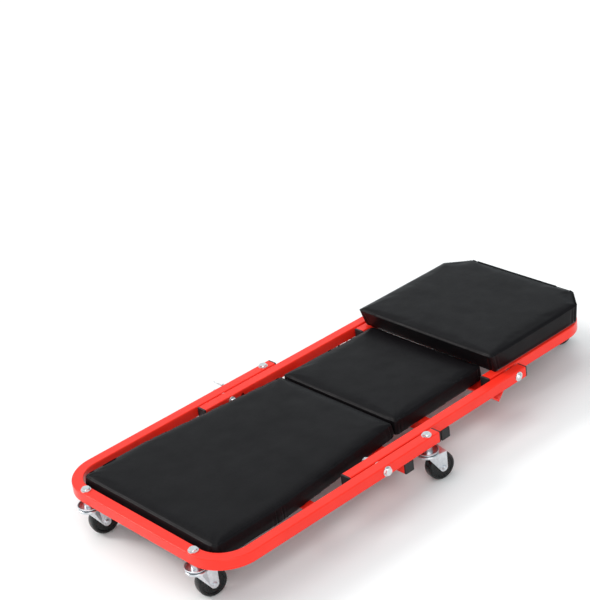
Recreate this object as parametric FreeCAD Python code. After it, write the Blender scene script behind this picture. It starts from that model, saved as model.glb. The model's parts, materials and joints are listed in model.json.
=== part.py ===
import FreeCAD, Part
import math
import os

from FreeCAD import Placement, Rotation, Vector

os.makedirs("parts", exist_ok=True)

# Folding mechanics creeper. Millimetres, X from the foot end (0) to the head end,
# Y across (left side is +Y), Z up from the floor. save() moves the origin to the
# bottom centre of the whole object.

# ---- square tube stock
TUBE = 20.0
WALL = 1.5
EDGE_R = 2.0
TUBE_Z = 69.0                       # underside of all three side frames
TUBE_TOP = TUBE_Z + TUBE
TUBE_MID = TUBE_Z + TUBE / 2

# ---- base frame: U closed at the foot end
BASE_HALF = 210.0                   # outer half width
BASE_CORNER = 70.0                  # outer bend radius
BASE_OPEN_X = 481.0
BASE_BAR_X = 394.8                  # crossbar under the side tubes, low edge
BASE_BAR_HALF = 206.0
STRIP_X = 208.0                     # flat strip under the foot pad
STRIP_WIDTH = 22.0
STRIP_THICK = 3.0
STRIP_HALF = 204.0

# ---- middle frame: two straight tubes inside the base tubes
MID_HALF = 187.6
MID_X0 = 291.0
MID_X1 = 728.5
MID_BAR_X = 506.0
ANGLE_LEG = 28.0
ANGLE_THICK = 2.5
ANGLE_HALF = 178.0

# ---- head frame: U closed at the head end, inside the middle tubes
HEAD_HALF = 163.6
HEAD_CORNER = 65.0
HEAD_CLOSED_X = 942.0
HEAD_OPEN_X = 656.0

# ---- fold pivots
PIVOT_BASE_X = 353.0
PIVOT_HEAD_X = 706.0
FOLD_MAX = 132.5                    # degrees, seat position
PIVOT_R = 4.0
RUNNING = 0.05                      # radial clearance of moving shafts
FACE_GAP = 0.3                      # clearance between faces that slide past

# ---- pads (height over the tube tops)
PAD_SINK = TUBE                     # base and middle pads lie on the crossbars
PAD_RISE = 8.0
PAD_EDGE = 4.0
BASE_PAD = [(25.0, 168.0), (160.0, 168.0), (446.0, 139.0)]      # x and half width
MID_PAD = [(449.0, 139.0), (675.0, 133.0)]
PAD_CORNER = 7.0
BASE_PAD_FOOT_CORNER = 13.0
BASE_PAD_SHOULDER = 60.0            # radius where the taper starts
HEAD_PAD_TOP_X0 = 667.0             # foot face leans out over the middle pad
HEAD_PAD_LOW_X0 = 680.0
HEAD_PAD_X1 = 945.0
HEAD_PAD_HALF = 161.0
HEAD_PAD_CHAMFER = 39.0
HEAD_PAD_CORNER = 5.0
HEAD_PAD_THICK = 37.0
HEAD_PAD_EDGE = 4.0
BOARD_THICK = 7.0
BOARD_INSET = 4.0

# ---- casters
WHEEL_R = 25.0
WHEEL_HALF = 10.0
HUB_HALF = 11.2
TRAIL = 20.0
CASTER_TURN = -12.0                 # degrees about Z from straight trailing to +X
AXLE_R = 2.5
AXLE_HEAD_AF = 8.0
AXLE_HEAD_H = 3.2
AXLE_END = 1.0                      # thread past the nut
LEG_IN = 11.5
LEG_THICK = 2.0
KING_R = 4.0
FORK_PLATE_Z = 52.0
FORK_PLATE_THICK = 2.0
FORK_PLATE_R = 17.0
BASE_FOOT_CASTER_Y = 136.0
BASE_OPEN_CASTER_X = 458.0
HEAD_CASTER_Y = 75.0

# ---- lock pin and pull ring on the left side
LOCK_X = PIVOT_BASE_X + 25.5
LOCK_R = 3.5
LOCK_TRAVEL = 6.0                   # rest position to fully engaged
RING_R = 11.5
RING_WIRE = 1.0
RING_LEAN = 45.0                    # degrees of the ring's plane about the pin
EYE_R = 4.2
EYE_HOLE = 2.0
EYE_HALF = 3.0                      # half length of the eye along the pin

# ---- fasteners
BOLT_HEAD_AF = 13.0
BOLT_HEAD_H = 2.8
FLANGE_R = 8.5
FLANGE_H = 1.5
SCREW_R = 2.2
SCREW_HEAD_R = 4.5
SCREW_HEAD_H = 2.2
PLUG_CAP = 3.0
PLUG_DEPTH = 12.0
STAPLE_LENGTH = 11.0
STAPLE_WIRE = 0.9

X_AXIS = Vector(1, 0, 0)
Y_AXIS = Vector(0, 1, 0)
Z_AXIS = Vector(0, 0, 1)

EYE_Y = BASE_HALF + LOCK_TRAVEL + EYE_HALF + 0.2
RING_Y = EYE_Y + RING_R

# ---- bottom centre of the overall box, from the foot end and the middle line.
# The pull ring on one side and the turned casters move it off the middle line.
ORIGIN = Vector(483.9, 10.6, 0)


def box(x0, x1, y0, y1, z0, z1):
    return Part.makeBox(x1 - x0, y1 - y0, z1 - z0, Vector(x0, y0, z0))


def rod(start, axis, radius, length):
    return Part.makeCylinder(radius, length, start, axis)


def prism(points, direction):
    wire = Part.makePolygon([Vector(*p) for p in points + points[:1]])
    return Part.Face(wire).extrude(direction)


def revolve(profile):
    """Solid of revolution about Z from (radius, height) points."""
    wire = Part.makePolygon([Vector(r, 0, z) for r, z in profile + profile[:1]])
    return Part.Face(wire).revolve(Vector(), Z_AXIS, 360)


def fuse(shapes):
    body = shapes[0]
    for shape in shapes[1:]:
        body = body.fuse(shape)
    return body.removeSplitter()


def hexagon(centre, axis, across_flats, height):
    radius = across_flats / math.sqrt(3)
    corners = []
    for step in range(6):
        angle = math.radians(60 * step)
        corners.append(Vector(radius * math.cos(angle), radius * math.sin(angle), 0))
    wire = Part.makePolygon(corners + corners[:1])
    body = Part.Face(wire).extrude(Vector(0, 0, height))
    chamfer_cone = Part.makeCone(radius + 0.2, radius - 1.0, height)
    body = body.common(chamfer_cone)
    body.Placement = Placement(centre, Rotation(Z_AXIS, axis))
    return body


def save(name, shapes):
    solids = shapes if isinstance(shapes, list) else [shapes]
    moved = []
    for shape in solids:
        copy = shape.copy()
        copy.translate(ORIGIN * -1)
        moved.append(copy)
    result = moved[0] if len(moved) == 1 else Part.makeCompound(moved)
    result.exportStep("parts/" + name + ".step")


# ------------------------------------------------------------------ tubes
def u_face(closed_x, open_x, half, corner, z):
    """Area inside a U outline with two round corners at closed_x."""
    side = 1 if open_x > closed_x else -1
    bend = closed_x + side * corner
    cut = corner * (1 - math.sqrt(0.5))
    low = [
        Vector(open_x, -half, z),
        Vector(bend, -half, z),
        Vector(closed_x + side * cut, -half + cut, z),
        Vector(closed_x, -half + corner, z),
    ]
    high = [Vector(p.x, -p.y, z) for p in low]
    edges = [
        Part.makeLine(low[0], low[1]),
        Part.Arc(low[1], low[2], low[3]).toShape(),
        Part.makeLine(low[3], high[3]),
        Part.Arc(high[3], high[2], high[1]).toShape(),
        Part.makeLine(high[1], high[0]),
        Part.makeLine(high[0], low[0]),
    ]
    return Part.Face(Part.Wire(edges))


def u_ring(closed_x, open_x, half, corner, inset, z0, z1):
    """U-shaped bar between two outlines, inset from the tube's faces."""
    side = 1 if open_x > closed_x else -1
    far = open_x + side * TUBE
    width = TUBE - inset
    outer = u_face(closed_x + side * inset, open_x, half - inset, corner - inset, z0)
    inner = u_face(closed_x + side * width, far, half - width, corner - width, z0)
    rise = Vector(0, 0, z1 - z0)
    return outer.extrude(rise).cut(inner.extrude(rise))


def round_long_edges(body, open_ends):
    chosen = []
    for edge in body.Edges:
        bounds = edge.BoundBox
        upright = bounds.ZLength > TUBE / 2
        at_end = bounds.XLength < 0.01 and any(abs(bounds.XMin - x) < 0.01 for x in open_ends)
        if not upright and not at_end:
            chosen.append(edge)
    return body.makeFillet(EDGE_R, chosen)


def u_tube(closed_x, open_x, half, corner):
    body = u_ring(closed_x, open_x, half, corner, 0, TUBE_Z, TUBE_TOP)
    body = round_long_edges(body, [open_x])
    hollow = u_ring(closed_x, open_x, half, corner, WALL, TUBE_Z + WALL, TUBE_TOP - WALL)
    return body.cut(hollow)


def straight_tube(length):
    """Square tube along X from 0, centred on the axis."""
    half = TUBE / 2
    body = box(0, length, -half, half, -half, half)
    long_edges = [edge for edge in body.Edges if edge.BoundBox.XLength > length / 2]
    body = body.makeFillet(EDGE_R, long_edges)
    bore = half - WALL
    return body.cut(box(0, length, -bore, bore, -bore, bore))


def side_tube(x0, x1, y):
    tube = straight_tube(x1 - x0)
    tube.translate(Vector(x0, y, TUBE_MID))
    return tube


def cross_tube(x, half, z):
    tube = straight_tube(2 * half)
    tube.rotate(Vector(), Z_AXIS, 90)
    tube.translate(Vector(x, -half, z))
    return tube


def plug(end, outward):
    """Plastic plug of a square tube: a cap on the end and a stub inside it."""
    half = TUBE / 2
    stub = half - WALL - 0.1
    cap = box(0, PLUG_CAP, -half, half, -half, half)
    corners = [edge for edge in cap.Edges if edge.BoundBox.XLength > PLUG_CAP / 2]
    cap = cap.makeFillet(EDGE_R, corners)
    rim = [edge for edge in cap.Edges if edge.BoundBox.XMin > PLUG_CAP - 0.01]
    cap = cap.makeChamfer(0.5, rim)
    body = fuse([cap, box(-PLUG_DEPTH, 0, -stub, stub, -stub, stub)])
    body.Placement = Placement(end, Rotation(X_AXIS, outward))
    return body


def cross_holes(x, radius, sides=(-1, 1)):
    """Cutters along Y through the side tubes at x, one per side."""
    cutters = []
    for side in sides:
        start = Vector(x, side * (HEAD_HALF - 2 * TUBE), TUBE_MID)
        cutters.append(rod(start, Y_AXIS * side, radius, 4.5 * TUBE))
    return cutters


def drill(body, cutters):
    for cutter in cutters:
        body = body.cut(cutter)
    return body


base_casters = [
    (TUBE / 2, -BASE_FOOT_CASTER_Y),
    (TUBE / 2, BASE_FOOT_CASTER_Y),
    (BASE_OPEN_CASTER_X, -(BASE_HALF - TUBE / 2)),
    (BASE_OPEN_CASTER_X, BASE_HALF - TUBE / 2),
]
head_casters = [
    (HEAD_CLOSED_X - TUBE / 2, -HEAD_CASTER_Y),
    (HEAD_CLOSED_X - TUBE / 2, HEAD_CASTER_Y),
]


def bolt_bores(spots):
    return [rod(Vector(x, y, TUBE_Z - 1), Z_AXIS, KING_R, TUBE + 2) for x, y in spots]


pivot_holes = cross_holes(PIVOT_BASE_X, PIVOT_R + RUNNING)
head_pivot_holes = cross_holes(PIVOT_HEAD_X, PIVOT_R + RUNNING)
lock_hole = cross_holes(LOCK_X, LOCK_R + RUNNING, sides=(1,))

base_tube = u_tube(0, BASE_OPEN_X - PLUG_CAP, BASE_HALF, BASE_CORNER)
base_tube = drill(base_tube, bolt_bores(base_casters) + pivot_holes + lock_hole)
save("base_frame_tube", base_tube)

mid_y = MID_HALF - TUBE / 2
mid_ends = (MID_X0 + PLUG_CAP, MID_X1 - PLUG_CAP)
mid_left = drill(side_tube(*mid_ends, mid_y), pivot_holes + head_pivot_holes + lock_hole)
mid_right = drill(side_tube(*mid_ends, -mid_y), pivot_holes + head_pivot_holes)
save("mid_side_tube_left", mid_left)
save("mid_side_tube_right", mid_right)

# ------------------------------------------------------------------ pad screws
SCREW_INSET = 70.0
bar_z = TUBE_Z - TUBE / 2
base_bar_mid = BASE_BAR_X + TUBE / 2
mid_bar_mid = MID_BAR_X + TUBE / 2
strip_mid = STRIP_X + STRIP_WIDTH / 2
SCREW_BITE = 4.5                    # depth of the screw in the board


def screw(x, y, seat_z, top_z):
    """Round-head screw pointing up: head under seat_z, tip at top_z."""
    head = revolve([(0, -SCREW_HEAD_H), (SCREW_HEAD_R * 0.6, -SCREW_HEAD_H),
                    (SCREW_HEAD_R, -SCREW_HEAD_H * 0.4), (SCREW_HEAD_R, 0), (0, 0)])
    shank = rod(Vector(), Z_AXIS, SCREW_R, top_z - seat_z)
    slot = box(-SCREW_HEAD_R, SCREW_HEAD_R, -0.5, 0.5, -SCREW_HEAD_H - 1, -SCREW_HEAD_H + 0.8)
    body = fuse([head, shank]).cut(slot)
    body.translate(Vector(x, y, seat_z))
    return body


def screw_bores(spots, z0, z1):
    return [rod(Vector(x, y, z0), Z_AXIS, SCREW_R, z1 - z0) for x, y in spots]


base_bar_spots = [(base_bar_mid, -SCREW_INSET), (base_bar_mid, SCREW_INSET)]
strip_spots = [(strip_mid, -SCREW_INSET), (strip_mid, SCREW_INSET)]
mid_bar_spots = [(mid_bar_mid, -SCREW_INSET), (mid_bar_mid, SCREW_INSET)]
HEAD_SCREW_X = (778.0, 862.0)        # ahead of the angle bar in the seat position
HEAD_SCREW_Y = 150.0
head_spots = [(x, side * HEAD_SCREW_Y) for x in HEAD_SCREW_X for side in (-1, 1)]

# ------------------------------------------------------------------ crossbars
base_bar = cross_tube(base_bar_mid, BASE_BAR_HALF, bar_z)
base_bar = drill(base_bar, screw_bores(base_bar_spots, TUBE_Z - TUBE - 1, TUBE_Z + 1))
save("base_crossbar", base_bar)

strip = box(STRIP_X, STRIP_X + STRIP_WIDTH, -STRIP_HALF, STRIP_HALF, TUBE_Z - STRIP_THICK, TUBE_Z)
strip = drill(strip, screw_bores(strip_spots, TUBE_Z - STRIP_THICK - 1, TUBE_Z + 1))
save("base_pad_strip", strip)

mid_bar_half = MID_HALF - PLUG_CAP
mid_bar = cross_tube(mid_bar_mid, mid_bar_half, bar_z)
mid_bar = drill(mid_bar, screw_bores(mid_bar_spots, TUBE_Z - TUBE - 1, TUBE_Z + 1))
save("mid_crossbar", mid_bar)

# Angle-iron bar: its front leg is level in the seat position and carries the head frame.
front = math.radians(180 - FOLD_MAX)
fold = math.radians(FOLD_MAX)
WELD = 0.5                          # gap that the weld fills
tip_rise = ANGLE_LEG * math.sin(front) + ANGLE_THICK * math.cos(front)
vertex_z = TUBE_Z - WELD - tip_rise
span = PIVOT_HEAD_X - PIVOT_BASE_X
drop = TUBE / 2 + FACE_GAP
vertex_rise = (vertex_z - TUBE_MID) * math.cos(fold)
vertex_x = PIVOT_BASE_X + (span * math.sin(fold) - drop - vertex_rise) / math.sin(fold)
leg_a = Vector(math.cos(front), 0, math.sin(front))
leg_b = Vector(-math.sin(front), 0, math.cos(front))
vertex = Vector(vertex_x, -ANGLE_HALF, vertex_z)
corners = [
    vertex,
    vertex + leg_a * ANGLE_LEG,
    vertex + leg_a * ANGLE_LEG + leg_b * ANGLE_THICK,
    vertex + (leg_a + leg_b) * ANGLE_THICK,
    vertex + leg_b * ANGLE_LEG + leg_a * ANGLE_THICK,
    vertex + leg_b * ANGLE_LEG,
]
angle_bar = prism([(p.x, p.y, p.z) for p in corners], Y_AXIS * (2 * ANGLE_HALF))
save("mid_angle_bar", angle_bar)

# ------------------------------------------------------------------ head frame
head_tube = u_tube(HEAD_CLOSED_X, HEAD_OPEN_X + PLUG_CAP, HEAD_HALF, HEAD_CORNER)
head_tube = drill(head_tube, bolt_bores(head_casters) + head_pivot_holes)
head_tube = drill(head_tube, screw_bores(head_spots, TUBE_Z - 1, TUBE_TOP + 1))
save("head_frame_tube", head_tube)

# ------------------------------------------------------------------ plugs
base_y = BASE_HALF - TUBE / 2
head_y = HEAD_HALF - TUBE / 2
SIDES = (-1, 1)


def end_plugs(x, y, outward):
    return [plug(Vector(x, side * y, TUBE_MID), outward) for side in SIDES]


def bar_plugs(x, half):
    return [plug(Vector(x, side * half, bar_z), Y_AXIS * side) for side in SIDES]


save("base_tube_plugs", end_plugs(BASE_OPEN_X - PLUG_CAP, base_y, X_AXIS))
save("base_crossbar_plugs", bar_plugs(base_bar_mid, BASE_BAR_HALF))
mid_plugs = end_plugs(mid_ends[0], mid_y, X_AXIS * -1) + end_plugs(mid_ends[1], mid_y, X_AXIS)
save("mid_tube_plugs", mid_plugs)
save("mid_crossbar_plugs", bar_plugs(mid_bar_mid, mid_bar_half))
save("head_tube_plugs", end_plugs(HEAD_OPEN_X + PLUG_CAP, head_y, X_AXIS * -1))

# ------------------------------------------------------------------ pivot hardware
DOME_R = 6.5
DOME_H = 4.0
NUT_H = 6.5
NUT_AF = 13.0
THREAD_END = 1.5                    # thread past the nut


def dome(centre, axis):
    """Low domed bolt head with its flat side at centre."""
    ball_r = (DOME_R ** 2 + DOME_H ** 2) / (2 * DOME_H)
    ball = Part.makeSphere(ball_r, Vector(0, 0, DOME_H - ball_r))
    head = ball.common(box(-DOME_R, DOME_R, -DOME_R, DOME_R, 0, DOME_H + 1))
    head.Placement = Placement(centre, Rotation(Z_AXIS, axis))
    return head


def hex_head(centre, axis):
    return hexagon(centre, axis, NUT_AF, DOME_H)


def pivot_set(x, outer, inner, spacer_y, spacer, head):
    """Bolts, nuts and washers of one pivot line, both sides; head makes the bolt's outer end.

    outer: y of the outermost tube face; inner: y of the innermost one;
    spacer_y, spacer: where the washer between the two tubes starts, and its thickness.
    """
    bolts, nuts, washers = [], [], []
    outer_seat, inner_seat = outer + FLANGE_H, inner - FLANGE_H
    length = outer_seat - inner_seat + NUT_H + THREAD_END
    for side in SIDES:
        out = Y_AXIS * side
        seat = Vector(x, side * outer_seat, TUBE_MID)
        shank = rod(seat, out * -1, PIVOT_R, length)
        bolts.append(fuse([shank, head(seat, out)]))
        nut = hexagon(Vector(x, side * inner_seat, TUBE_MID), out * -1, NUT_AF, NUT_H)
        nuts.append(nut.cut(bore_through(x, side * (inner_seat - TUBE / 2), out)))
        for face_y, thick in ((outer, FLANGE_H), (inner_seat, FLANGE_H), (spacer_y, spacer)):
            ring = rod(Vector(x, side * face_y, TUBE_MID), out, FLANGE_R, thick)
            washers.append(ring.cut(bore_through(x, side * face_y, out)))
    return bolts, nuts, washers


def bore_through(x, y, out):
    return rod(Vector(x, y, TUBE_MID) - out, out, PIVOT_R, TUBE)


mid_inner = MID_HALF - TUBE
base_inner = BASE_HALF - TUBE
head_inner = HEAD_HALF - TUBE
gap_base = base_inner - MID_HALF - FACE_GAP
gap_head = mid_inner - HEAD_HALF - FACE_GAP
base_pivot = pivot_set(PIVOT_BASE_X, BASE_HALF, mid_inner - FACE_GAP, base_inner - gap_base, gap_base,
                       head=hex_head)
head_pivot = pivot_set(PIVOT_HEAD_X, MID_HALF, head_inner - FACE_GAP, mid_inner - gap_head, gap_head,
                       head=dome)
for prefix, hardware in (("base_pivot", base_pivot), ("head_pivot", head_pivot)):
    for kind, shapes in zip(("bolts", "nuts", "washers"), hardware):
        save(prefix + "_" + kind, shapes)

# ------------------------------------------------------------------ lock pin, pull ring
PIN_NOSE = 1.5
nose_y = MID_HALF + FACE_GAP
tip = Part.makeCone(LOCK_R - PIN_NOSE / 2, LOCK_R, PIN_NOSE, Vector(LOCK_X, nose_y, TUBE_MID), Y_AXIS)
shaft = rod(Vector(LOCK_X, nose_y + PIN_NOSE, TUBE_MID), Y_AXIS, LOCK_R, EYE_Y - nose_y - PIN_NOSE)
eye = rod(Vector(LOCK_X, EYE_Y - EYE_HALF, TUBE_MID), Y_AXIS, EYE_R, 2 * EYE_HALF)
lean = math.radians(RING_LEAN)
ring_tangent = Vector(-math.sin(lean), 0, math.cos(lean))
eye_point = Vector(LOCK_X, EYE_Y, TUBE_MID)
eye_bore = rod(eye_point - ring_tangent * 10, ring_tangent, EYE_HOLE, 20)
save("lock_pin", fuse([tip, shaft, eye]).cut(eye_bore))

ring_centre = Vector(LOCK_X, RING_Y, TUBE_MID)
ring_normal = Vector(math.cos(lean), 0, math.sin(lean))
save("pull_ring", Part.makeTorus(RING_R, RING_WIRE, ring_centre, ring_normal))

# ------------------------------------------------------------------ casters
UPPER_RACE = [(0, 57), (13, 57), (17, 58.5), (19, 62), (17.8, 62.4), (16, 60), (12.5, 58.6),
              (8, 58.6), (8, 67.5), (FLANGE_R, 67.5), (FLANGE_R, TUBE_Z), (0, TUBE_Z)]
RIVET_R = 6.5
RIVET_TOP = FORK_PLATE_Z - FACE_GAP
RIVET_BOTTOM = 49.0
LOWER_RACE = [(KING_R + RUNNING, FORK_PLATE_Z), (FORK_PLATE_R, FORK_PLATE_Z), (18, 53), (18, 55.5),
              (17, 56.5), (14, 56.5), (14, 54), (KING_R + RUNNING, 54)]
WHEEL_HALF_PROFILE = [(AXLE_R + RUNNING, HUB_HALF), (7, HUB_HALF), (8, 8.5), (18, 8.5), (19, 10),
                      (22, 10), (24, 8), (24.8, 4.5), (WHEEL_R, 0)]
LEG_R = 7.5
LEG_FRONT_TOP = 10.0
FORK_REAR = 28.0
FLARE_DROP = 3.5                    # end of the flare under the axle's centre


def caster_stem():
    race = revolve(UPPER_RACE)
    king = rod(Vector(0, 0, RIVET_BOTTOM), Z_AXIS, KING_R, TUBE_Z - RIVET_BOTTOM)
    rivet = rod(Vector(0, 0, RIVET_BOTTOM), Z_AXIS, RIVET_R, RIVET_TOP - RIVET_BOTTOM)
    return fuse([race, king, rivet])


def caster_bolt():
    """Flanged hex bolt through the tube, screwed into the stem's top."""
    flange = rod(Vector(0, 0, TUBE_TOP), Z_AXIS, FLANGE_R, FLANGE_H)
    head = hexagon(Vector(0, 0, TUBE_TOP + FLANGE_H), Z_AXIS, BOLT_HEAD_AF, BOLT_HEAD_H)
    shank = rod(Vector(0, 0, TUBE_Z), Z_AXIS, KING_R, TUBE)
    return fuse([flange, head, shank])


def fork_leg(side):
    """Flat leg beside the wheel, from the top plate down to the round axle eye."""
    low = LEG_IN if side > 0 else -(LEG_IN + LEG_THICK)
    top = FORK_PLATE_Z + FORK_PLATE_THICK
    outline = [(LEG_FRONT_TOP, low, top), (FORK_REAR, low, top), (TRAIL + LEG_R, low, WHEEL_R),
               (TRAIL - LEG_R, low, WHEEL_R)]
    eye_end = rod(Vector(TRAIL, low, WHEEL_R), Y_AXIS, LEG_R, LEG_THICK)
    return prism(outline, Y_AXIS * LEG_THICK).fuse(eye_end)


def fork_flare(side):
    """Two flat facets that carry the leg's front edge out to the rim of the race."""
    outside = LEG_IN + LEG_THICK
    valley_top = Vector(LEG_FRONT_TOP, side * outside, FORK_PLATE_Z + 1)
    ridge = Vector(0, side * FORK_PLATE_R, FORK_PLATE_Z + 1)
    front = Vector(-FORK_PLATE_R / 2, side * FORK_PLATE_R * math.sqrt(0.75), FORK_PLATE_Z + 1)
    foot = Vector(TRAIL - LEG_R + 1, side * outside, WHEEL_R - FLARE_DROP)

    def inner(point):
        return Vector(point.x, side * LEG_IN, point.z)

    faces = [
        [valley_top, ridge, front, inner(front), inner(valley_top)],
        [valley_top, ridge, foot],
        [ridge, front, foot],
        [front, inner(front), inner(foot), foot],
        [inner(valley_top), inner(front), inner(foot)],
        [valley_top, inner(valley_top), inner(foot), foot],
    ]
    shell = Part.makeShell([Part.Face(Part.makePolygon(loop + loop[:1])) for loop in faces])
    solid = Part.makeSolid(shell)
    if solid.Volume < 0:
        solid.reverse()
    return solid


def caster_fork():
    """Pressed U fork: race disc, top plate that reaches back over the wheel, two legs."""
    half = LEG_IN + LEG_THICK
    king_bore = rod(Vector(0, 0, FORK_PLATE_Z - 1), Z_AXIS, KING_R + RUNNING, TUBE)
    plate = box(0, FORK_REAR, -half, half, FORK_PLATE_Z, FORK_PLATE_Z + FORK_PLATE_THICK).cut(king_bore)
    pieces = [revolve(LOWER_RACE), plate]
    for side in SIDES:
        pieces += [fork_leg(side), fork_flare(side)]
    axle_bore = rod(Vector(TRAIL, -TUBE, WHEEL_R), Y_AXIS, AXLE_R, 2 * TUBE)
    return fuse(pieces).cut(axle_bore)


def caster_axle():
    """Axle bolt with its hex head on the left and its nut on the right."""
    reach = LEG_IN + LEG_THICK
    end = -reach - AXLE_HEAD_H - AXLE_END
    shank = rod(Vector(TRAIL, end, WHEEL_R), Y_AXIS, AXLE_R, reach - end)
    head = hexagon(Vector(TRAIL, reach, WHEEL_R), Y_AXIS, AXLE_HEAD_AF, AXLE_HEAD_H)
    nut = hexagon(Vector(TRAIL, -reach, WHEEL_R), Y_AXIS * -1, AXLE_HEAD_AF, AXLE_HEAD_H)
    return [fuse([shank, head]), nut.cut(shank)]


def caster_wheel():
    mirrored = [(r, -h) for r, h in reversed(WHEEL_HALF_PROFILE[:-1])]
    wheel = revolve(WHEEL_HALF_PROFILE + mirrored)
    wheel.rotate(Vector(), X_AXIS, 90)
    wheel.translate(Vector(TRAIL, 0, WHEEL_R))
    return wheel


def at_caster(shape, spot):
    placed = shape.copy()
    placed.rotate(Vector(), Z_AXIS, CASTER_TURN)
    placed.translate(Vector(spot[0], spot[1], 0))
    return placed


save("base_caster_bolts", [at_caster(caster_bolt(), spot) for spot in base_casters])
save("base_caster_stems", [at_caster(caster_stem(), spot) for spot in base_casters])
save("head_caster_stems", [at_caster(caster_stem(), spot) for spot in head_casters])
PLACES = ("foot_right", "foot_left", "middle_right", "middle_left", "head_right", "head_left")
for place, spot in zip(PLACES, base_casters + head_casters):
    save("caster_fork_" + place, at_caster(caster_fork(), spot))
    save("caster_axle_" + place, [at_caster(piece, spot) for piece in caster_axle()])
    save("caster_wheel_" + place, at_caster(caster_wheel(), spot))

# The head pad covers these two bolts, so their heads sit in pockets of its board.
save("head_caster_bolts", [at_caster(caster_bolt(), spot) for spot in head_casters])


# ------------------------------------------------------------------ pads and boards
def outline_prism(points, radii, z0, z1):
    """Upright block on an outline whose corners are rounded to radii, one for each point."""
    body = prism([(x, y, z0) for x, y in points], Vector(0, 0, z1 - z0))
    for (x, y), radius in zip(points, radii):
        foot = Part.Vertex(x, y, z0)
        corner = [edge for edge in body.Edges
                  if edge.BoundBox.ZLength > (z1 - z0) / 2 and edge.distToShape(foot)[0] < 0.01]
        body = body.makeFillet(radius, corner)
    return body


def soften_top(body, top_z, radius):
    rim = [edge for edge in body.Edges if edge.BoundBox.ZMin > top_z - 0.01]
    return body.makeFillet(radius, rim)


def taper_points(pad, inset=0.0):
    (first_x, first_half), *rest, (last_x, last_half) = pad
    right = [(first_x + inset, first_half - inset)]
    right += [(x, half - inset) for x, half in rest] + [(last_x - inset, last_half - inset)]
    return [(x, -half) for x, half in right] + list(reversed(right))


def head_points(x0, inset=0.0):
    x0, x1, half = x0 + inset, HEAD_PAD_X1 - inset, HEAD_PAD_HALF - inset
    cut = HEAD_PAD_CHAMFER - inset * (2 - math.sqrt(2))
    right = [(x0, -half), (x1 - cut, -half), (x1, -half + cut)]
    return right + [(x, -y) for x, y in reversed(right)]


def halved(radii):
    return [radius / 2 for radius in radii]


def cushion(block, inner_points, radii, z0, z1, edge):
    """Softens the top of a block and takes the board's room out of its underside."""
    recess = outline_prism(inner_points, halved(radii), z0 - 1, z0 + BOARD_THICK)
    return soften_top(block, z1, edge).cut(recess)


def leaning_block(z0, z1):
    """Head pad block whose foot face leans from HEAD_PAD_LOW_X0 at z0 to HEAD_PAD_TOP_X0 at z1."""
    block = prism([(x, y, z0) for x, y in head_points(HEAD_PAD_TOP_X0)], Vector(0, 0, z1 - z0))
    under = [(HEAD_PAD_TOP_X0, -2 * HEAD_HALF, z0), (HEAD_PAD_LOW_X0, -2 * HEAD_HALF, z0),
             (HEAD_PAD_TOP_X0, -2 * HEAD_HALF, z1)]
    block = block.cut(prism(under, Y_AXIS * (4 * HEAD_HALF)))
    corners = [edge for edge in block.Edges if edge.BoundBox.ZLength > (z1 - z0) / 2]
    return block.makeFillet(HEAD_PAD_CORNER, corners)


low_z = TUBE_TOP - PAD_SINK
pad_top = TUBE_TOP + PAD_RISE
head_top = TUBE_TOP + HEAD_PAD_THICK
base_inner_outline = taper_points(BASE_PAD, BOARD_INSET)
mid_inner_outline = taper_points(MID_PAD, BOARD_INSET)
head_inner_outline = head_points(HEAD_PAD_LOW_X0, BOARD_INSET)
base_side_radii = [BASE_PAD_FOOT_CORNER, BASE_PAD_SHOULDER, PAD_CORNER]
base_radii = base_side_radii + list(reversed(base_side_radii))
mid_radii = [PAD_CORNER] * 4
head_radii = [HEAD_PAD_CORNER] * 6
base_block = outline_prism(taper_points(BASE_PAD), base_radii, low_z, pad_top)
mid_block = outline_prism(taper_points(MID_PAD), mid_radii, low_z, pad_top)
head_block = leaning_block(TUBE_TOP, head_top)
save("base_pad", cushion(base_block, base_inner_outline, base_radii, low_z, pad_top, PAD_EDGE))
save("mid_pad", cushion(mid_block, mid_inner_outline, mid_radii, low_z, pad_top, PAD_EDGE))
save("head_pad", cushion(head_block, head_inner_outline, head_radii, TUBE_TOP, head_top, HEAD_PAD_EDGE))


def board(points, radii, z0, cutters):
    body = outline_prism(points, halved(radii), z0, z0 + BOARD_THICK)
    return drill(body, cutters)


bite_z = low_z + SCREW_BITE
base_bites = screw_bores(base_bar_spots + strip_spots, low_z - 1, bite_z)
mid_bites = screw_bores(mid_bar_spots, low_z - 1, bite_z)
head_bites = screw_bores(head_spots, TUBE_TOP - 1, TUBE_TOP + SCREW_BITE)
POCKET_R = FLANGE_R + 1.0
head_pockets = [rod(Vector(x, y, TUBE_TOP - 1), Z_AXIS, POCKET_R, BOARD_THICK + 2) for x, y in head_casters]
save("base_pad_board", board(base_inner_outline, base_radii, low_z, base_bites))
save("mid_pad_board", board(mid_inner_outline, mid_radii, low_z, mid_bites))
head_board = board(head_inner_outline, head_radii, TUBE_TOP, head_bites + head_pockets)
save("head_pad_board", head_board)

bar_bottom = TUBE_Z - TUBE
base_screws = [screw(x, y, bar_bottom, bite_z) for x, y in base_bar_spots]
base_screws += [screw(x, y, TUBE_Z - STRIP_THICK, bite_z) for x, y in strip_spots]
save("base_pad_screws", base_screws)
save("mid_pad_screws", [screw(x, y, bar_bottom, bite_z) for x, y in mid_bar_spots])
save("head_pad_screws", [screw(x, y, TUBE_Z, TUBE_TOP + SCREW_BITE) for x, y in head_spots])


# ------------------------------------------------------------------ staples under the boards
def staple(x, y, z, turn):
    half = STAPLE_LENGTH / 2
    body = box(-half, half, -STAPLE_WIRE / 2, STAPLE_WIRE / 2, -STAPLE_WIRE, 0)
    body.rotate(Vector(), Z_AXIS, turn)
    body.translate(Vector(x, y, z))
    return body


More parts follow.
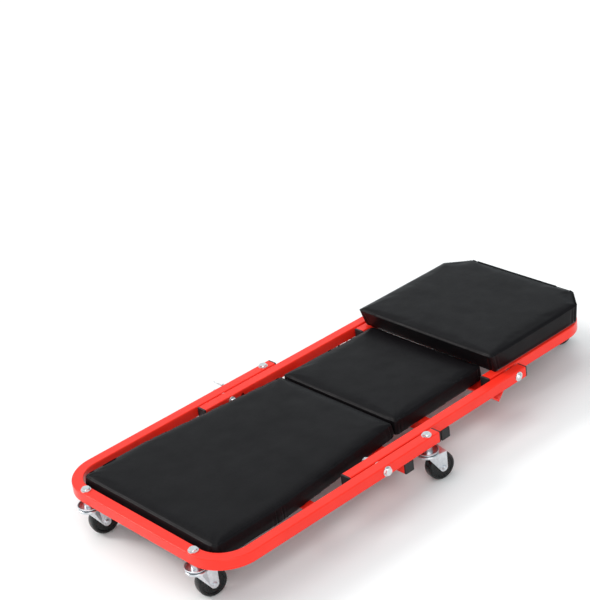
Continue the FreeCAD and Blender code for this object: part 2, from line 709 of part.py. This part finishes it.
def staple_row(start, end, count, z, turn):
    (xa, ya), (xb, yb) = start, end
    steps = [(i + 0.5) / count for i in range(count)]
    return [staple(xa + (xb - xa) * t, ya + (yb - ya) * t, z, turn) for t in steps]


STAPLE_IN = 18.0                    # from the pad's edge
STAPLE_CLEAR = 1.0                  # from any frame bar
STAPLE_TURN = 25.0


def pad_staples(pad, along, across):
    points = taper_points([pad[0], pad[-1]], STAPLE_IN)
    rows = staple_row(points[0], points[1], along, low_z, STAPLE_TURN)
    rows += staple_row(points[3], points[2], along, low_z, -STAPLE_TURN)
    rows += staple_row(points[0], points[3], across, low_z, 90 - STAPLE_TURN)
    rows += staple_row(points[1], points[2], across, low_z, 90 - STAPLE_TURN)
    return rows


def clear_of(staples, blockers):
    free = []
    for item in staples:
        if all(item.distToShape(blocker)[0] > STAPLE_CLEAR for blocker in blockers):
            free.append(item)
    return free


save("base_pad_staples", clear_of(pad_staples(BASE_PAD, 7, 5), [base_bar, strip]))
save("mid_pad_staples", clear_of(pad_staples(MID_PAD, 4, 4), [mid_bar, angle_bar]))
head_row_y = head_inner - TUBE / 2
head_row_x = HEAD_PAD_LOW_X0 + STAPLE_IN
side_row_x0, side_row_x1 = head_row_x + STAPLE_IN, HEAD_CLOSED_X - 3 * TUBE
head_rows = staple_row((head_row_x, -head_row_y), (head_row_x, head_row_y), 5, TUBE_TOP, 90 - STAPLE_TURN)
for edge_y in (-head_row_y, head_row_y):
    head_rows += staple_row((side_row_x0, edge_y), (side_row_x1, edge_y), 4, TUBE_TOP, STAPLE_TURN)
save("head_pad_staples", clear_of(head_rows, [head_tube]))
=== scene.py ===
import json
import math

import bmesh
import bpy
import numpy as np
from mathutils import Matrix, Vector, geometry, noise


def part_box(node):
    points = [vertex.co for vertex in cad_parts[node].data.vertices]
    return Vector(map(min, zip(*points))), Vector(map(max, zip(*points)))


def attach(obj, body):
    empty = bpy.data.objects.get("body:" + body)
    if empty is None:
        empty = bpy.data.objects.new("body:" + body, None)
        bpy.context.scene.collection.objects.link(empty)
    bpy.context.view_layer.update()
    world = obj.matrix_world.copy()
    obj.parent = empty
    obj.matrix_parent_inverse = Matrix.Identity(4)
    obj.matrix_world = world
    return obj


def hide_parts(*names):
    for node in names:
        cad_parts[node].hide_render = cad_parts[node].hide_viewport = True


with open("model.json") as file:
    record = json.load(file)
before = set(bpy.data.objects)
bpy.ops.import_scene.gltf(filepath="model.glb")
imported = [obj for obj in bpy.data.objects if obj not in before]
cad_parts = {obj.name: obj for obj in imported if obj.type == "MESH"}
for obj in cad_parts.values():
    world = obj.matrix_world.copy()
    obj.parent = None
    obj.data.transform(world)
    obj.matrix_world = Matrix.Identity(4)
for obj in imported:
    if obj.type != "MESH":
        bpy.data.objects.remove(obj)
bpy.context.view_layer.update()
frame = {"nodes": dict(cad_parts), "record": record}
NODES = frame["nodes"]
MM = 0.001


# ------------------------------------------------------------------ node helpers
EDGE_STARTS, EDGE_FULL = 0.985, 0.85    # cosines between the flat and the rounded normal


class Finish:
    """A procedural material on object coordinates, which are the frame's metres."""

    def __init__(self, name):
        self.material = bpy.data.materials.new(name)
        self.material.use_nodes = True
        self.nodes = self.material.node_tree.nodes
        self.links = self.material.node_tree.links
        self.shader = self.nodes["Principled BSDF"]
        self.place = self.nodes.new("ShaderNodeTexCoord").outputs["Object"]

    def set(self, **values):
        for key, value in values.items():
            self.shader.inputs[key.replace("_", " ")].default_value = value

    def node(self, kind, **settings):
        made = self.nodes.new("ShaderNode" + kind)
        for key, value in settings.items():
            setattr(made, key, value)
        return made

    def put(self, source, target):
        self.links.new(source, target)

    def stretched(self, x, y, z):
        mapping = self.node("Mapping")
        mapping.inputs["Scale"].default_value = (x, y, z)
        self.put(self.place, mapping.inputs["Vector"])
        return mapping.outputs["Vector"]

    def noise(self, size, detail=3.0, roughness=0.55, place=None):
        made = self.node("TexNoise")
        made.inputs["Scale"].default_value = 1 / size
        made.inputs["Detail"].default_value = detail
        made.inputs["Roughness"].default_value = roughness
        self.put(place or self.place, made.inputs["Vector"])
        return made.outputs["Fac"]

    def cells(self, size, feature, place):
        made = self.node("TexVoronoi", feature=feature)
        made.inputs["Scale"].default_value = 1 / size
        self.put(place, made.inputs["Vector"])
        return made.outputs["Distance"]

    def span(self, value, low, high, to_low=0.0, to_high=1.0):
        made = self.node("MapRange")
        ends = {"From Min": low, "From Max": high, "To Min": to_low, "To Max": to_high}
        for key, number in ends.items():
            made.inputs[key].default_value = number
        self.put(value, made.inputs["Value"])
        return made.outputs["Result"]

    def math(self, operation, a, b):
        made = self.node("Math", operation=operation)
        for socket, value in zip(made.inputs, (a, b)):
            if isinstance(value, (int, float)):
                socket.default_value = value
            else:
                self.put(value, socket)
        return made.outputs["Value"]

    def mix(self, factor, low, high):
        made = self.node("Mix", data_type="RGBA")
        self.put(factor, made.inputs["Factor"])
        for socket, value in ((made.inputs[6], low), (made.inputs[7], high)):
            if isinstance(value, tuple):
                socket.default_value = (*value, 1.0)
            else:
                self.put(value, socket)
        return made.outputs[2]

    def bump(self, height, depth, strength, under=None):
        made = self.node("Bump")
        made.inputs["Distance"].default_value = depth
        made.inputs["Strength"].default_value = strength
        self.put(height, made.inputs["Height"])
        if under:
            self.put(under, made.inputs["Normal"])
        return made.outputs["Normal"]

    def edges(self, radius):
        """1 along convex and concave edges, 0 on flat faces."""
        bevel = self.node("Bevel", samples=4)
        bevel.inputs["Radius"].default_value = radius
        flat = self.node("NewGeometry").outputs["Normal"]
        dot = self.node("VectorMath", operation="DOT_PRODUCT")
        self.put(bevel.outputs["Normal"], dot.inputs[0])
        self.put(flat, dot.inputs[1])
        return self.span(dot.outputs["Value"], EDGE_STARTS, EDGE_FULL)

    def colour(self, source):
        self.put(source, self.shader.inputs["Base Color"])

    def roughness(self, source):
        self.put(source, self.shader.inputs["Roughness"])

    def normal(self, source):
        self.put(source, self.shader.inputs["Normal"])


# ------------------------------------------------------------------ materials
def frame_paint():
    """Gloss powder coat: orange peel, slow shade drift, small rubbed spots on edges."""
    f = Finish("frame_paint")
    f.set(Coat_Weight=0.07, Coat_Roughness=0.15, Specular_IOR_Level=0.25)
    drift = f.span(f.noise(0.09, 2), 0.3, 0.7)
    body = f.mix(drift, (0.84, 0.024, 0.012), (0.91, 0.031, 0.016))
    spots = f.span(f.noise(0.004, 5, 0.7), 0.60, 0.72)
    rubbed = f.math("MULTIPLY", f.edges(0.0016), spots)
    f.colour(f.mix(rubbed, body, (0.46, 0.035, 0.03)))
    f.roughness(f.span(f.noise(0.012, 4), 0.3, 0.7, 0.28, 0.40))
    f.normal(f.bump(f.noise(0.0016, 2, 0.4), 0.00006, 0.5))
    return f.material


def plug_plastic():
    """Moulded black plastic with a fine spark-eroded grain."""
    f = Finish("plug_plastic")
    f.set(Specular_IOR_Level=0.4)
    f.colour(f.mix(f.noise(0.006, 3), (0.006, 0.006, 0.0065), (0.014, 0.014, 0.015)))
    f.roughness(f.span(f.noise(0.002, 4), 0.3, 0.7, 0.48, 0.62))
    f.normal(f.bump(f.noise(0.0007, 3, 0.6), 0.00008, 0.7))
    return f.material


def pad_vinyl():
    """Black vinyl: pebbled grain with painted shade in its creases, slow changes of tone and
    sheen.
    """
    f = Finish("pad_vinyl")
    f.set(Specular_IOR_Level=0.09)
    warp = f.node("VectorMath", operation="MULTIPLY_ADD")
    push = f.node("TexNoise")
    push.inputs["Scale"].default_value = 260
    f.put(f.place, push.inputs["Vector"])
    f.put(push.outputs["Color"], warp.inputs[0])
    warp.inputs[1].default_value = (0.0012, 0.0012, 0.0012)
    f.put(f.place, warp.inputs[2])
    grain = f.span(f.cells(0.0013, "SMOOTH_F1", warp.outputs["Vector"]), 0.0, 0.75, 1.0, 0.0)
    creases = f.span(f.cells(0.0034, "DISTANCE_TO_EDGE", warp.outputs["Vector"]), 0.0, 0.10)
    relief = f.math("ADD", grain, f.math("MULTIPLY", creases, 0.6))
    tone = f.span(f.noise(0.06, 3), 0.3, 0.7)
    base = f.mix(tone, (0.0052, 0.0042, 0.0050), (0.0076, 0.0064, 0.0074))
    # painted shade: the grain's creases are coloured darker than the vinyl around them
    f.colour(f.mix(creases, (0.0028, 0.0028, 0.0032), base))
    f.roughness(f.span(f.noise(0.035, 4), 0.3, 0.7, 0.36, 0.46))
    f.normal(f.bump(relief, 0.00007, 0.55, f.bump(f.noise(0.022, 3), 0.0006, 0.25)))
    return f.material


def dust_cover():
    """Black non-woven cloth over the boards: tangled fibres, grey lint, soft dents."""
    f = Finish("dust_cover")
    f.set(Sheen_Weight=0.35, Sheen_Roughness=0.6, Specular_IOR_Level=0.2)
    fibres = f.math("ADD", f.noise(0.0011, 5, 0.7, f.stretched(1, 0.25, 1)),
                    f.noise(0.0011, 5, 0.7, f.stretched(0.25, 1, 1)))
    lint = f.span(fibres, 0.9, 1.25)
    patch = f.span(f.noise(0.03, 3), 0.35, 0.7)
    base = f.mix(patch, (0.010, 0.010, 0.0105), (0.022, 0.022, 0.023))
    f.colour(f.mix(lint, base, (0.060, 0.060, 0.062)))
    f.roughness(f.span(fibres, 0.7, 1.3, 0.82, 0.96))
    f.normal(f.bump(fibres, 0.00025, 0.8, f.bump(f.noise(0.018, 3), 0.0015, 0.5)))
    return f.material


def bright_metal(name, low, high, rough_low, rough_high, streaks):
    """Plated or turned steel: cloudy brightness, fine drawn lines, a painted highlight along the
    edges.
    """
    f = Finish(name)
    f.set(Metallic=1.0)
    cloud = f.span(f.noise(0.007, 4, 0.6), 0.3, 0.7)
    body = f.mix(cloud, low, high)
    # painted highlight: the colour is lighter along convex and concave edges
    edge = f.math("MULTIPLY", f.edges(0.0006), 0.5)
    f.colour(f.mix(edge, body, (0.93, 0.93, 0.94)))
    lines = f.noise(0.0009, 3, 0.6, f.stretched(*streaks))
    f.roughness(f.math("ADD", f.span(lines, 0.35, 0.65, -0.05, 0.05),
                       f.span(f.noise(0.011, 4), 0.3, 0.7, rough_low, rough_high)))
    f.normal(f.bump(lines, 0.00004, 0.35))
    return f.material


def wheel_plastic():
    """Hard black wheel: glossy sides, a scuffed and slightly dusty tread."""
    f = Finish("wheel_plastic")
    f.set(Specular_IOR_Level=0.35)
    scuff = f.span(f.noise(0.0035, 5, 0.7), 0.5, 0.72)
    f.colour(f.mix(scuff, (0.003, 0.003, 0.0035), (0.014, 0.0135, 0.013)))
    f.roughness(f.math("ADD", f.span(f.noise(0.006, 3), 0.3, 0.7, 0.20, 0.30),
                       f.math("MULTIPLY", scuff, 0.3)))
    f.normal(f.bump(f.noise(0.0012, 4, 0.6), 0.00005, 0.5))
    return f.material


def floor_finish():
    """Matt white studio floor."""
    f = Finish("studio_floor")
    f.colour(f.mix(f.noise(0.4, 2), (0.86, 0.86, 0.86), (0.88, 0.88, 0.88)))
    f.set(Roughness=0.9, Specular_IOR_Level=0.1)
    return f.material


FINISHES = {
    "frame_paint": frame_paint(),
    "plug_plastic": plug_plastic(),
    "pad_vinyl": pad_vinyl(),
    "pad_board": dust_cover(),
    "staple_wire": bright_metal(
        "staple_wire", (0.62, 0.62, 0.63), (0.74, 0.74, 0.75), 0.28, 0.40, (0.1, 1, 1)),
    "zinc_plate": bright_metal(
        "zinc_plate", (0.58, 0.60, 0.63), (0.74, 0.76, 0.79), 0.28, 0.42, (1, 1, 0.2)),
    "bright_steel": bright_metal(
        "bright_steel", (0.66, 0.67, 0.68), (0.82, 0.83, 0.84), 0.26, 0.38, (0.3, 1, 1)),
    "wheel_plastic": wheel_plastic(),
}
for row in frame["record"]["subparts"]:
    mesh = NODES[row["node"]].data
    mesh.materials.clear()
    mesh.materials.append(FINISHES[row["material_slot"]])


# ------------------------------------------------------------------ cushions
# start form and cloth
OUTLINE_STEP = 3 * MM
LONG_SIDE = 25 * MM                 # shorter sides belong to a rounded corner
FAR = 9                             # lengthens long sides, in their own lengths, until they meet
FORM_INSET = 0.5 * MM               # the start form stands this far inside the pad's outline
VOXEL = 4 * MM
CAP = 1.6 * MM                      # most that a point may move while the cover swells
HELD_HEIGHT = 3 * MM                # the underside up to this height doesn't swell
PRESSURE = 4.0
CLOTH_MASS = 0.3
CLOTH_STIFFNESS = 20
CLOTH_FRAMES = 20
# top edge and sides
EDGE = 3.2 * MM                     # radius of the cover's top edge
RIM = 9 * MM                        # width and height of the finely divided band on it
UPRIGHT = 0.6                       # a side's normal has less than this along Z
SKIN = 6 * MM                       # depth of the skin that is trued up on the outline
SKIN_FOOT = 1.5 * MM                # height where that skin starts
TRUED = 0.9                         # share of the skin's depth that is taken away
SIDE_BAND = 4 * EDGE                # depth over which draw-in and pleats fade out
HEIGHTS = (0.0, 0.2, 0.45, 0.8, 1.0)
BASE_PAD_SIDES = (1.0, 0.2, 0.0, 1.6, 3.4)      # mm drawn in at those heights
MID_PAD_SIDES = (1.0, 0.2, 0.0, 0.8, 1.8)
HEAD_PAD_SIDES = (3.0, 2.2, 1.4, 0.4, 0.0)
HEAD_FOOT_FACE = (10.0, -1.0)                   # mm drawn in at its bottom and top, extra
FOOT_FACE_REACH = 40 * MM
# crown
CROWN_BAND = 2 * EDGE               # height under the top over which the crown sets in
CROWN_REACH = 80 * MM               # the crown is at its full height this far from the side
STUFFING = ((14.0, 0.4), (38.0, 0.12))          # unevenness: waves per metre, height in mm
# pleats: place along the corner's chord, width and depth, in mm
PLEATS = ((6.0, 1.4, 2.8), (9.6, 1.6, -0.6), (-7.0, 1.3, 1.3), (-13.0, 1.8, 0.45),
          (14.5, 2.0, 0.5))
PLEAT_REACH = 30 * MM
PLEAT_FADE = 0.4                    # share of the height over which pleats fade to the top
PLEAT_FOOT = 0.5 * MM               # height where they start
# hem
HEM = 17 * MM                       # width of cover turned under the board
HEM_THICK = 0.45 * MM
HEM_START = 1.5 * MM
UNDERSIDE = 2 * MM                  # what is lower than this is the underside
INNER_LIFT = 3 * MM                 # the underside inside the hem is up inside the board


def outline_sides(node):
    """Start points and directions of the pad's convex outline from above, anticlockwise."""
    flat = [Vector((v.co.x, v.co.y)) for v in NODES[node].data.vertices]
    hull = [flat[i] for i in geometry.convex_hull_2d(flat)]
    return [(a, b) for a, b in zip(hull, hull[1:] + hull[:1]) if (b - a).length > 1e-5]


def plan_outline(node):
    """The outline as evenly spaced points."""
    points = []
    for a, b in outline_sides(node):
        count = max(1, round((b - a).length / OUTLINE_STEP))
        points += [a.lerp(b, i / count) for i in range(count)]
    return points


def sharp_corners(node):
    """Where the long sides would meet, with the directions in and out of each corner."""
    runs = [(a, b) for a, b in outline_sides(node) if (b - a).length > LONG_SIDE]
    corners = []
    for (a, b), (c, d) in zip(runs, runs[1:] + runs[:1]):
        far_b, far_c = b + (b - a) * FAR, c + (c - d) * FAR
        corner = geometry.intersect_line_line_2d(a, far_b, far_c, d)
        corners.append((corner, (b - a).normalized(), (d - c).normalized()))
    return corners


def offset(points, distance):
    """The outline moved inwards by distance."""
    moved = []
    for i, p in enumerate(points):
        along = (points[(i + 1) % len(points)] - points[i - 1]).normalized()
        moved.append(p + Vector((-along.y, along.x)) * distance)
    return moved


def stuffed_form(node):
    """Closed start shape of a cover: rings up the side, flat top and bottom."""
    low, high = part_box(node)
    outline = plan_outline(node)
    thick = high.z - low.z
    rings = [                       # inset and height of each
        (1.6 * MM, 0.0),
        (0.6 * MM, 1.5 * MM),
        (0.4 * MM, thick * 0.4),
        (FORM_INSET, thick - EDGE),
        (FORM_INSET + EDGE * 0.3, thick - EDGE * 0.3),
        (FORM_INSET + EDGE, thick),
    ]
    body = bmesh.new()
    loops = [[body.verts.new((p.x, p.y, low.z + z)) for p in offset(outline, inset)]
             for inset, z in rings]
    for lower, upper in zip(loops, loops[1:]):
        for i in range(len(lower)):
            j = (i + 1) % len(lower)
            body.faces.new((lower[i], lower[j], upper[j], upper[i]))
    body.faces.new(loops[-1])
    body.faces.new(list(reversed(loops[0])))
    mesh = bpy.data.meshes.new(node + "_form")
    body.to_mesh(mesh)
    body.free()
    return mesh


def apply_all(obj):
    """Replaces the object's mesh by what its modifiers make of it."""
    depsgraph = bpy.context.evaluated_depsgraph_get()
    made = bpy.data.meshes.new_from_object(obj.evaluated_get(depsgraph))
    obj.modifiers.clear()
    obj.data = made


def coordinates(mesh):
    """Vertex places, one row each."""
    co = np.empty(len(mesh.vertices) * 3)
    mesh.vertices.foreach_get("co", co)
    return co.reshape(-1, 3)


def normals(mesh):
    """Vertex normals, one row each."""
    found = np.empty(len(mesh.vertices) * 3)
    mesh.vertices.foreach_get("normal", found)
    return found.reshape(-1, 3)


def swell(obj, base_z):
    """Cloth under a little pressure, its underside held, and no point moving more than CAP."""
    start = coordinates(obj.data)
    held = obj.vertex_groups.new(name="held")
    held.add([i for i, p in enumerate(start) if p[2] < base_z + HELD_HEIGHT], 1.0, "ADD")
    cloth = obj.modifiers.new("swell", "CLOTH")
    cloth.settings.use_pressure = True
    cloth.settings.uniform_pressure_force = PRESSURE
    cloth.settings.effector_weights.gravity = 0.0
    cloth.settings.vertex_group_mass = "held"
    cloth.settings.mass = CLOTH_MASS
    cloth.settings.tension_stiffness = CLOTH_STIFFNESS
    cloth.settings.compression_stiffness = CLOTH_STIFFNESS
    cloth.point_cache.frame_start, cloth.point_cache.frame_end = 1, CLOTH_FRAMES
    scene = bpy.context.scene
    for step in range(1, CLOTH_FRAMES + 1):
        scene.frame_set(step)
    apply_all(obj)
    scene.frame_set(1)
    moved = coordinates(obj.data) - start
    far = np.maximum(np.linalg.norm(moved, axis=1), 1e-9)
    soft = CAP * np.tanh(far / CAP) / far
    obj.data.vertices.foreach_set("co", (start + moved * soft[:, None]).ravel())


def plan_depth(points, node):
    """Distance of each point inside the convex outline, and the inward direction there."""
    sides = outline_sides(node)
    starts = np.array([a for a, b in sides])
    along = np.array([(b - a).normalized() for a, b in sides])
    inward = np.stack([-along[:, 1], along[:, 0]], axis=1)
    depth = np.full(len(points), 1e9)
    way = np.zeros((len(points), 2))
    for start, normal in zip(starts, inward):
        here = (points - start) @ normal
        closer = here < depth
        depth[closer] = here[closer]
        way[closer] = normal
    return depth, way


def refine(obj, node):
    """Halves the faces along the top rim and beside the pleated corners."""
    body = bmesh.new()
    body.from_mesh(obj.data)
    co = np.array([v.co for v in body.verts])
    rim = (plan_depth(co[:, :2], node)[0] < RIM) & (co[:, 2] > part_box(node)[1].z - RIM)
    corner = np.zeros(len(co), bool)
    for point, _, _ in sharp_corners(node):
        corner |= np.linalg.norm(co[:, :2] - np.array(point), axis=1) < PLEAT_REACH
    body.verts.ensure_lookup_table()
    near = [e for e in body.edges if all(rim[v.index] or corner[v.index] for v in e.verts)]
    bmesh.ops.subdivide_edges(body, edges=near, cuts=1, use_grid_fill=True, smooth=0.0)
    body.to_mesh(obj.data)
    body.free()


def round_edge(co, depth, way, top_z):
    """Gives the top edge one radius, wherever the swollen cover is further out."""
    over = np.maximum(EDGE - depth, 0.0)
    above = np.maximum(co[:, 2] - (top_z - EDGE), 0.0)
    reach = np.maximum(np.hypot(over, above), 1e-9)
    fix = np.where((over > 0) & (above > 0), EDGE / reach, 1.0)
    shift = over * (fix - 1)
    co[:, :2] -= way * shift[:, None]
    co[:, 2] = np.where(above > 0, top_z - EDGE + np.where(over > 0, above * fix, above), co[:, 2])
    return depth - shift


def pleat(co, corner, side, height):
    """Vertical folds beside one corner, which run out under the top edge."""
    point, before, after = corner
    inward = np.array((after - before).normalized())
    away = (co[:, :2] - np.array(point)) / MM
    across = away @ np.array((-inward[1], inward[0]))
    near = np.clip(2 - np.linalg.norm(away, axis=1) * MM / (PLEAT_REACH / 2), 0.0, 1.0)
    fade = np.clip((1 - height) / PLEAT_FADE, 0.0, 1.0)
    folds = sum(np.exp(-((across - centre) / width) ** 2) * deep for centre, width, deep in PLEATS)
    co[:, :2] += inward * (folds * MM * side * near * fade)[:, None]


def shape_cover(obj, node, crown, sides, foot_face):
    """Crown, crisp top edge, drawn-in sides, pleated corners and a hem under the board.

    sides: mm that the sides are drawn in at HEIGHTS. foot_face: mm that the foot end is
    drawn in besides, at its bottom and its top.
    """
    low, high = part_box(node)
    corners = sharp_corners(node)
    co = coordinates(obj.data)
    depth, way = plan_depth(co[:, :2], node)
    # sides trued up on the outline, with a little of their swelling left
    upright = np.abs(normals(obj.data)[:, 2]) < UPRIGHT
    skin = (depth < SKIN) & (co[:, 2] > low.z + SKIN_FOOT) & upright
    excess = np.where(skin, TRUED * depth, np.minimum(depth, 0.0))
    co[:, :2] -= way * excess[:, None]
    depth = round_edge(co, depth - excess, way, high.z)
    # crown and slow unevenness of the stuffing
    up = np.clip((co[:, 2] - (high.z - CROWN_BAND)) / CROWN_BAND, 0.0, 1.0)
    wave = np.array([sum(noise.noise(Vector(p) * rate) * deep for rate, deep in STUFFING)
                     for p in co])
    dome = np.sin(np.clip(depth / CROWN_REACH, 0, 1) * math.pi / 2)
    co[:, 2] += up * (crown * dome + wave * MM)
    height = np.clip((co[:, 2] - low.z) / (high.z - low.z), 0.0, 1.0)
    side = np.clip(1 - depth / SIDE_BAND, 0.0, 1.0)
    co[:, :2] += way * (side * np.interp(height, HEIGHTS, sides) * MM)[:, None]
    for corner in corners:
        pleat(co, corner, side * (co[:, 2] > low.z + PLEAT_FOOT), height)
    slope = np.clip(1 - (co[:, 0] - low.x) / FOOT_FACE_REACH, 0.0, 1.0)
    co[:, 0] += slope * (foot_face[0] * (1 - height) + foot_face[1] * height) * MM
    # hem turned under the board, the rest of the underside up inside the board
    under = co[:, 2] < low.z + UNDERSIDE
    hem = under & (depth < HEM) & (depth > HEM_START)
    co[:, 2] = np.where(hem, low.z - HEM_THICK, co[:, 2])
    co[:, 2] = np.where(under & (depth >= HEM), low.z + INNER_LIFT, co[:, 2])
    obj.data.vertices.foreach_set("co", co.ravel())
    obj.data.update()


def cushion(name, node, body, crown, sides, foot_face=(0.0, 0.0)):
    """The sewn cover that replaces one pad node."""
    obj = bpy.data.objects.new(name, stuffed_form(node))
    bpy.context.scene.collection.objects.link(obj)
    remesh = obj.modifiers.new("even", "REMESH")
    remesh.mode = "VOXEL"
    remesh.voxel_size = VOXEL
    apply_all(obj)
    swell(obj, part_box(node)[0].z)
    smooth = obj.modifiers.new("smooth", "SUBSURF")
    smooth.levels = smooth.render_levels = 1
    apply_all(obj)
    refine(obj, node)
    shape_cover(obj, node, crown, sides, foot_face)
    for face in obj.data.polygons:
        face.use_smooth = True
    obj.data.materials.clear()
    obj.data.materials.append(FINISHES["pad_vinyl"])
    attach(obj, body)
    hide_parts(node)


cushion("base_cushion", "base_pad", "base", 1.2 * MM, BASE_PAD_SIDES)
cushion("mid_cushion", "mid_pad", "middle", 1.4 * MM, MID_PAD_SIDES)
cushion("head_cushion", "head_pad", "head", 1.0 * MM, HEAD_PAD_SIDES, HEAD_FOOT_FACE)


# ------------------------------------------------------------------ studio
WARM = (1.0, 0.965, 0.94)
SKY = (0.82, 0.95, 1.0, 1)
SKY_STRENGTH = 0.55
FLOOR_HALF = 30.0


def sun(name, direction, spread, strength):
    """Soft sun light that comes from direction; spread is its width in degrees."""
    data = bpy.data.lights.new(name, "SUN")
    data.angle = math.radians(spread)
    data.energy = strength
    data.color = WARM
    lamp = bpy.data.objects.new(name, data)
    lamp.rotation_mode = "QUATERNION"
    lamp.rotation_quaternion = Vector(direction).to_track_quat("Z", "Y")
    bpy.context.scene.collection.objects.link(lamp)


floor_mesh = bpy.data.meshes.new("floor")
floor_corners = [(x * FLOOR_HALF, y * FLOOR_HALF, 0)
                 for x, y in ((-1, -1), (1, -1), (1, 1), (-1, 1))]
floor_mesh.from_pydata(floor_corners, [], [(0, 1, 2, 3)])
floor = bpy.data.objects.new("floor", floor_mesh)
floor_mesh.materials.append(floor_finish())
bpy.context.scene.collection.objects.link(floor)

world = bpy.data.worlds.new("studio")
world.use_nodes = True
sky = world.node_tree.nodes["Background"].inputs
sky["Color"].default_value = SKY
sky["Strength"].default_value = SKY_STRENGTH
bpy.context.scene.world = world

sun("overhead", (-0.20, 0.30, 1.0), 50, 1.0)
sun("back_left", (-0.44, 0.69, 0.575), 18, 1.45)
sun("front", (-0.45, -0.80, 0.50), 65, 1.6)
sun("back", (0.575, 0.687, 0.444), 40, 0.15)

# ------------------------------------------------------------------ camera
AZIMUTH, ELEVATION, ROLL = (math.radians(a) for a in (-39.93, 26.35, -7.48))
CAMERA_PLACE = (-1.6210, -1.8295, 1.4870)
SENSOR_WIDTH = 36.0
FOCAL_LENGTH = 97.34
back = Vector((math.sin(AZIMUTH) * math.cos(ELEVATION),
               -math.cos(AZIMUTH) * math.cos(ELEVATION),
               math.sin(ELEVATION)))
level_right = (-back).cross(Vector((0, 0, 1))).normalized()
level_up = level_right.cross(-back)
right = level_right * math.cos(ROLL) + level_up * math.sin(ROLL)
up = level_up * math.cos(ROLL) - level_right * math.sin(ROLL)
turn = Matrix((right, up, back)).transposed()
camera_data = bpy.data.cameras.new("camera")
camera_data.sensor_width = SENSOR_WIDTH
camera_data.lens = FOCAL_LENGTH
camera = bpy.data.objects.new("camera", camera_data)
camera.matrix_world = Matrix.Translation(CAMERA_PLACE) @ turn.to_4x4()
bpy.context.scene.collection.objects.link(camera)
bpy.context.scene.camera = camera
bpy.context.scene.view_settings.view_transform = "Standard"
